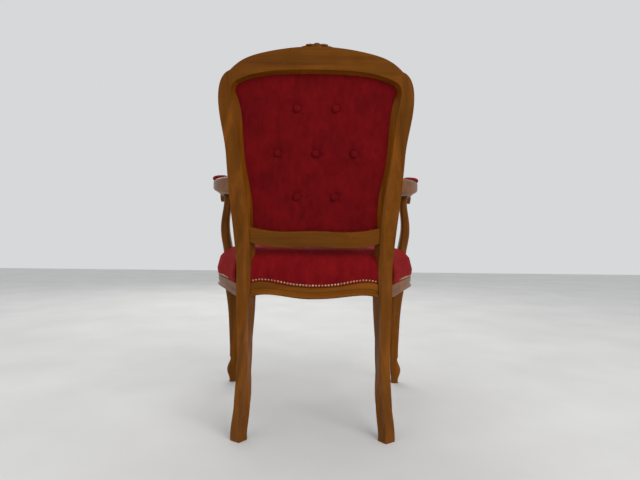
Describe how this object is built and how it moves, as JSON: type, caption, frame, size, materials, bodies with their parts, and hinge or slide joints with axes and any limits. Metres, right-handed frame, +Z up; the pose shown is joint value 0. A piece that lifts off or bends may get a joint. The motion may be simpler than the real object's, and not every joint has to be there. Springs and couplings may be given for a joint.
{
  "type": "upholstered open armchair",
  "caption": "Open armchair with a shaped wooden frame, bowed legs, scrolled arms, a buttoned velvet back and a sprung, nailed velvet seat.",
  "frame": {"origin": "on the floor, under the middle of the chair's bounding box", "axes": "+Z up, the sitter faces -Y, the sitter's left is +X"},
  "size_m": [0.646, 0.6098, 0.9835],
  "materials": {
    "show_wood": "waxed satin",
    "plain_wood": "unfinished",
    "velvet": "short pile velvet",
    "nail_brass": "aged",
    "spring_steel": "drawn wire",
    "hessian": "coarse weave",
    "lining": "thin woven lining"
  },
  "bodies": {
    "root": {"crest_rail": "show_wood", "lower_back_rail": "show_wood", "rear_seat_rail": "show_wood", "front_seat_rail": "show_wood", "rear_leg_left": "show_wood", "rear_leg_right": "show_wood", "front_leg_left": "show_wood", "front_leg_right": "show_wood", "side_seat_rail_left": "show_wood", "side_seat_rail_right": "show_wood", "arm_left": "show_wood", "arm_right": "show_wood", "arm_support_left": "show_wood", "arm_support_right": "show_wood", "crest_carving": "show_wood", "frame_dowels": "plain_wood", "corner_brace_rear_left": "plain_wood", "corner_brace_rear_right": "plain_wood", "corner_brace_front_left": "plain_wood", "corner_brace_front_right": "plain_wood", "seat_pad": "velvet", "seat_hem": "velvet", "back_front_pad": "velvet", "back_rear_cover": "velvet", "arm_pad_left": "velvet", "arm_pad_right": "velvet", "back_buttons_front": "velvet", "back_buttons_rear": "velvet", "seat_nails": "nail_brass", "back_pad_nails": "nail_brass", "seat_springs": "spring_steel", "seat_spring_clips": "spring_steel", "seat_hessian": "hessian", "back_webbing": "hessian", "back_tuft_twines": "hessian", "seat_dust_cover": "lining"}
  },
  "joints": []
}
